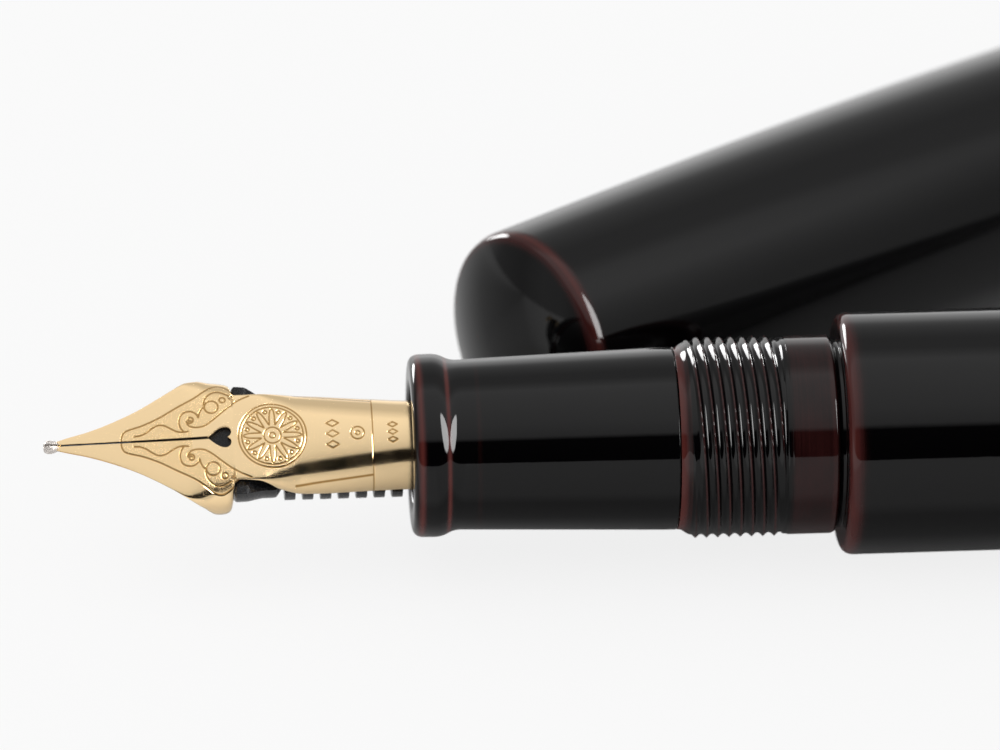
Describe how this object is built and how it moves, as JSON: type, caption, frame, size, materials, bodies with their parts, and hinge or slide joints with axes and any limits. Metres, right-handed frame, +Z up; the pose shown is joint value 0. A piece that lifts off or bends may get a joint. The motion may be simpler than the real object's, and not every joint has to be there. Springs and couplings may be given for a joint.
{
  "type": "fountain pen",
  "caption": "Uncapped fountain pen with a gold nib and screw-piston ink converter inside, its clipless screw cap laid beside it.",
  "frame": {"origin": "the point on the desk where the barrel rests, under the barrel's straight part, 30 mm behind the step where the neck ends", "axes": "+X along the pen from the nib to the tail, +Y towards the side where the cap lies, +Z up"},
  "size_m": [0.127, 0.0594, 0.0146],
  "materials": {
    "lacquer": "deep gloss, near-black with dark red at the edges",
    "liner_plastic": "satin",
    "black_plastic": "satin gloss",
    "steel": "bright turned",
    "nib_gold": "polished gold",
    "tipping_alloy": "ground satin",
    "clear_plastic": "clear",
    "seal_rubber": "matt",
    "white_plastic": "moulded"
  },
  "bodies": {
    "barrel": {"barrel": "lacquer"},
    "cap_liner": {"inner_cap": "liner_plastic"},
    "cap": {"cap_shell": "lacquer"},
    "connector": {"thread_sleeve": "steel", "feed_nipple": "black_plastic"},
    "grip": {"section": "lacquer", "feed_collar": "black_plastic"},
    "nib_unit": {"nib": "nib_gold", "tipping_left": "tipping_alloy", "tipping_right": "tipping_alloy", "feed": "black_plastic"},
    "converter": {"converter_mouth": "steel", "converter_tube": "clear_plastic", "rod_guide": "white_plastic", "converter_sleeve": "steel"},
    "knob": {"drive_nut": "steel", "converter_knob": "black_plastic", "knob_cap": "black_plastic"},
    "piston": {"piston_seal": "seal_rubber", "piston_rod": "white_plastic"}
  },
  "joints": [
    {"name": "cap_pull", "type": "slide", "parent": "barrel", "child": "cap_liner", "axis": [0.8161, 0.5779, 0], "range_m": [0, 0.045]},
    {"name": "cap_turn", "type": "hinge", "parent": "cap_liner", "child": "cap", "pos_m": [-0.04614, 0.0108, 0.00728], "axis": [-0.8161, -0.5779, 0], "range_deg": [0, 900]},
    {"name": "section_pull", "type": "slide", "parent": "barrel", "child": "connector", "axis": [-1, 0, 0], "range_m": [0, 0.06]},
    {"name": "section_turn", "type": "hinge", "parent": "connector", "child": "grip", "pos_m": [-0.045, 0, 0.00658], "axis": [-1, 0, 0], "range_deg": [0, 2520]},
    {"name": "nib_pull", "type": "slide", "parent": "grip", "child": "nib_unit", "axis": [-1, 0, 0], "range_m": [0, 0.0095]},
    {"name": "converter_pull", "type": "slide", "parent": "connector", "child": "converter", "axis": [1, 0, 0], "range_m": [0, 0.008]},
    {"name": "knob_turn", "type": "hinge", "parent": "converter", "child": "knob", "pos_m": [0.006, 0, 0.00658], "axis": [-1, 0, 0], "range_deg": [0, 3600]},
    {"name": "piston_slide", "type": "slide", "parent": "converter", "child": "piston", "axis": [1, 0, 0], "range_m": [0, 0.02]}
  ],
  "couplings": [
    {"joint": "piston_slide", "follows": "knob_turn", "m_per_rad": 0.0003183}
  ]
}
